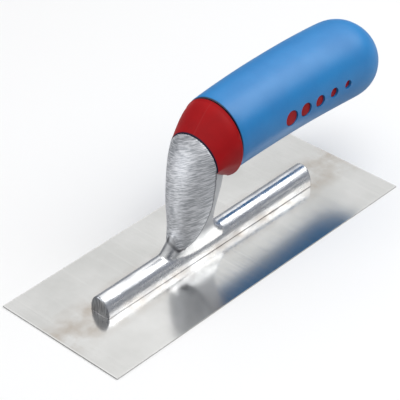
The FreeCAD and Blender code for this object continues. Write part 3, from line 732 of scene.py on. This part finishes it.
openings = bmesh.new()
for x, radius in WINDOWS:
    across_y(openings, radius + 0.0001, x, 2 * PAD_REACH)
cut_with(sleeve, openings, "DIFFERENCE")
round_arrises(sleeve, 0.0003, 40)
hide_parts("grip_sleeve")

soft_blue, tree, shader = new_material("blue_soft_grip")
here = place_on(tree)
marks = use(tree, patches, {"Vector": here, "Size": 0.016})
grain = use(tree, mould_grain, {"Vector": here, "Size": 0.0011})
wear_and_shade = use(tree, wear_and_hollow_shade, {"Vector": here, "Size": 0.003})
tone = blend(tree, marks.outputs["Patches"], BLUE, BLUE_DEEP)
tone = blend(tree, wear_and_shade.outputs["Rubbed"], tone, BLUE_RUBBED)
tree.links.new(blend(tree, joint_dirt(tree, here), tone, JOINT_DIRT), shader.inputs["Base Color"])
tree.links.new(span(tree, marks.outputs["Patches"], 0.0, 1.0, 0.38, 0.46), shader.inputs["Roughness"])
shader.inputs["Specular IOR Level"].default_value = 0.75
skin = add(tree, "ShaderNodeBump", {"Strength": 0.3, "Distance": 0.0001, "Height": grain.outputs["Grain"]})
tree.links.new(skin.outputs[0], shader.inputs["Normal"])
sleeve.data.materials.append(soft_blue)

# --------------------------------------------------------------------------------------- end plug
# A round plug in the same blue, pressed into the rear of the handle over the nut. It is turned
# with a soft rim, a fine groove round its face and a shallow dimple in the middle.

PLUG_RADIUS = 0.00615
# Place and radius along the plug's outline, from its inner end round its face to its middle.
PLUG = (
    (PLUG_FRONT, 0.0), (PLUG_FRONT, 0.0057), (PLUG_FRONT + 0.0004, PLUG_RADIUS),
    (DOME_END - 0.0020, PLUG_RADIUS), (DOME_END - 0.0012, 0.00595), (DOME_END - 0.0005, 0.00545),
    (DOME_END - 0.0001, 0.0047), (DOME_END, 0.0041), (DOME_END - 0.0003, 0.0038),
    (DOME_END - 0.0003, 0.0035), (DOME_END, 0.0032), (DOME_END, 0.0020), (DOME_END - 0.0004, 0.0011),
    (DOME_END - 0.0006, 0.0),
)
turning = bmesh.new()
outline = [turning.verts.new((x, 0, ROD_HEIGHT + radius)) for x, radius in PLUG]
profile = [turning.edges.new(pair) for pair in zip(outline, outline[1:])]
bmesh.ops.spin(turning, geom=outline + profile, cent=(0, 0, ROD_HEIGHT), axis=(1, 0, 0),
               angle=math.tau, steps=64, use_merge=True)
bmesh.ops.remove_doubles(turning, verts=turning.verts, dist=0.00001)
plug = new_piece("turned_end_plug", turning)
round_arrises(plug, 0.0001, 50)
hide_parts("end_plug")
plug_plastic, tree, shader = new_material("blue_plug_plastic")
here = place_on(tree)
marks = use(tree, patches, {"Vector": here, "Size": 0.004})
grain = use(tree, mould_grain, {"Vector": here, "Size": 0.0007})
wear_and_shade = use(tree, wear_and_hollow_shade, {"Vector": here, "Size": 0.002})
tone = blend(tree, marks.outputs["Patches"], BLUE, BLUE_DEEP)
tree.links.new(blend(tree, wear_and_shade.outputs["Rubbed"], tone, BLUE_RUBBED), shader.inputs["Base Color"])
tree.links.new(span(tree, marks.outputs["Patches"], 0.0, 1.0, 0.32, 0.42), shader.inputs["Roughness"])
skin = add(tree, "ShaderNodeBump", {"Strength": 0.3, "Distance": 0.00008, "Height": grain.outputs["Grain"]})
tree.links.new(skin.outputs[0], shader.inputs["Normal"])
plug.data.materials.append(plug_plastic)

# ------------------------------------------------------------------------------------------- floor
# A plain pale studio table, seen bright by the camera and darker by what stands on it.

PALE = (0.93, 0.93, 0.93, 1)
BOUNCE = (0.52, 0.52, 0.52, 1)

bpy.ops.mesh.primitive_plane_add(size=16)
floor = bpy.context.object
floor.name = "studio_floor"
pale, tree, shader = new_material("pale_table")
seen = add(tree, "ShaderNodeLightPath").outputs["Is Camera Ray"]
tree.links.new(blend(tree, seen, BOUNCE, PALE), shader.inputs["Base Color"])
shader.inputs["Roughness"].default_value = 1.0
shader.inputs["Specular IOR Level"].default_value = 0.0
floor.data.materials.append(pale)

# ------------------------------------------------------------------------------- lights and camera
# A pale tent, white to the camera, that darkens towards the table and behind the post. Three soft
# lights stand overhead, at the right and low at the left.

world = bpy.data.worlds.new("studio")
scene.world = world
world.use_nodes = True
tent = world.node_tree
sky = tent.nodes["Background"]
direction = add(tent, "ShaderNodeTexCoord").outputs["Generated"]
axes = add(tent, "ShaderNodeSeparateXYZ", {"Vector": direction})
ramp = add(tent, "ShaderNodeValToRGB", {"Fac": axes.outputs["Z"]})
stops = ramp.color_ramp
stops.elements[0].position, stops.elements[0].color = 0.0, (0.16, 0.17, 0.20, 1)
stops.elements[1].position, stops.elements[1].color = 1.0, (1.2, 1.2, 1.2, 1)
for position, shade in ((0.28, (0.24, 0.26, 0.31, 1)), (0.50, (0.70, 0.71, 0.72, 1)), (0.62, (1, 1, 1, 1)),
                        (0.78, (1.3, 1.3, 1.3, 1))):
    stops.elements.new(position).color = shade
ahead = span(tent, axes.outputs["X"], 0.1, 0.55, 0.5, 1.12)
glow = add(tent, "ShaderNodeVectorMath", {0: ramp.outputs["Color"], "Scale": ahead},
           operation="SCALE").outputs[0]
seen = add(tent, "ShaderNodeLightPath").outputs["Is Camera Ray"]
tent.links.new(blend(tent, seen, glow, (1, 1, 1, 1)), sky.inputs["Color"])
sky.inputs["Strength"].default_value = 1.0


SUBJECT = Vector((0, 0, 0.03))


def softbox(name, place, width, height, watts):
    """A soft rectangular lamp turned towards the tool."""
    data = bpy.data.lights.new(name, "AREA")
    data.shape = "RECTANGLE"
    data.size, data.size_y, data.energy = width, height, watts
    lamp = bpy.data.objects.new(name, data)
    scene.collection.objects.link(lamp)
    lamp.location = place
    lamp.rotation_mode = "QUATERNION"
    lamp.rotation_quaternion = (SUBJECT - Vector(place)).to_track_quat("-Z", "Y")


softbox("overhead", (0.1, -0.25, 1.2), 0.7, 0.7, 3.9)
softbox("right", (0.74, -0.50, 0.94), 1.0, 0.9, 4.2)
softbox("left", (-1.05, 0.48, 0.18), 0.7, 0.5, 4.8)

camera_data = bpy.data.cameras.new("camera")
camera = bpy.data.objects.new("camera", camera_data)
scene.collection.objects.link(camera)
camera_data.lens = 164.0
camera_place = Vector((-0.50508, -0.49004, 0.53617))
camera_aim = Vector((-0.00528, -0.00087, 0.03))
camera_roll = math.radians(-1.5)
camera.location = camera_place
camera.rotation_mode = "QUATERNION"
facing = (camera_aim - camera_place).to_track_quat("-Z", "Y")
camera.rotation_quaternion = facing @ Quaternion((0, 0, 1), camera_roll)
camera_data.clip_start = 0.05
scene.camera = camera
scene.view_settings.view_transform = "Standard"
